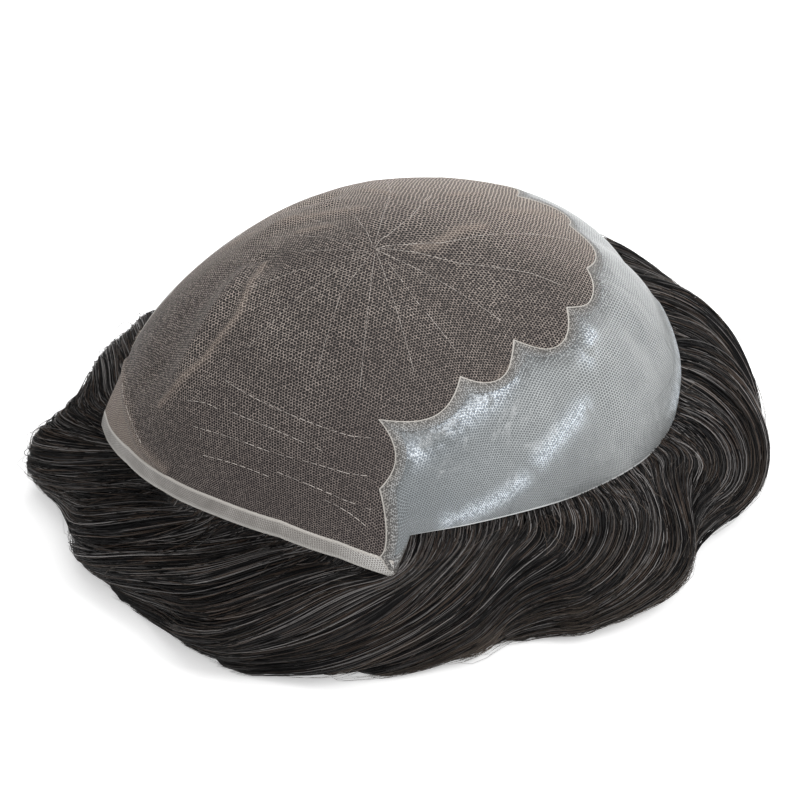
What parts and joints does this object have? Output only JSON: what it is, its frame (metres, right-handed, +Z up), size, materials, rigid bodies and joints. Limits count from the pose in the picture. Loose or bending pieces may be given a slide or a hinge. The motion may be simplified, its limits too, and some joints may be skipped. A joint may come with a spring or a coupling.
{
  "type": "toupee hairpiece, laid inside out",
  "caption": "Toupee laid inside out: lace crown with scalloped edge, thin skin round the sides and nape, pale front strip and wavy dark hair curled out all round.",
  "frame": {"origin": "on the table, under the middle of the whole piece", "axes": "+Z up from the table, -Y towards the forehead edge, +Y towards the nape, X across the head"},
  "size_m": [0.2036, 0.2254, 0.0925],
  "materials": {
    "lace": "matte",
    "seam": "satin",
    "skin": "gloss",
    "strip": "satin",
    "hair": "satin"
  },
  "bodies": {
    "root": {"lace_crown": "lace", "scallop_seam": "seam", "skin_perimeter": "skin", "front_strip": "strip", "hair": "hair"}
  },
  "joints": []
}
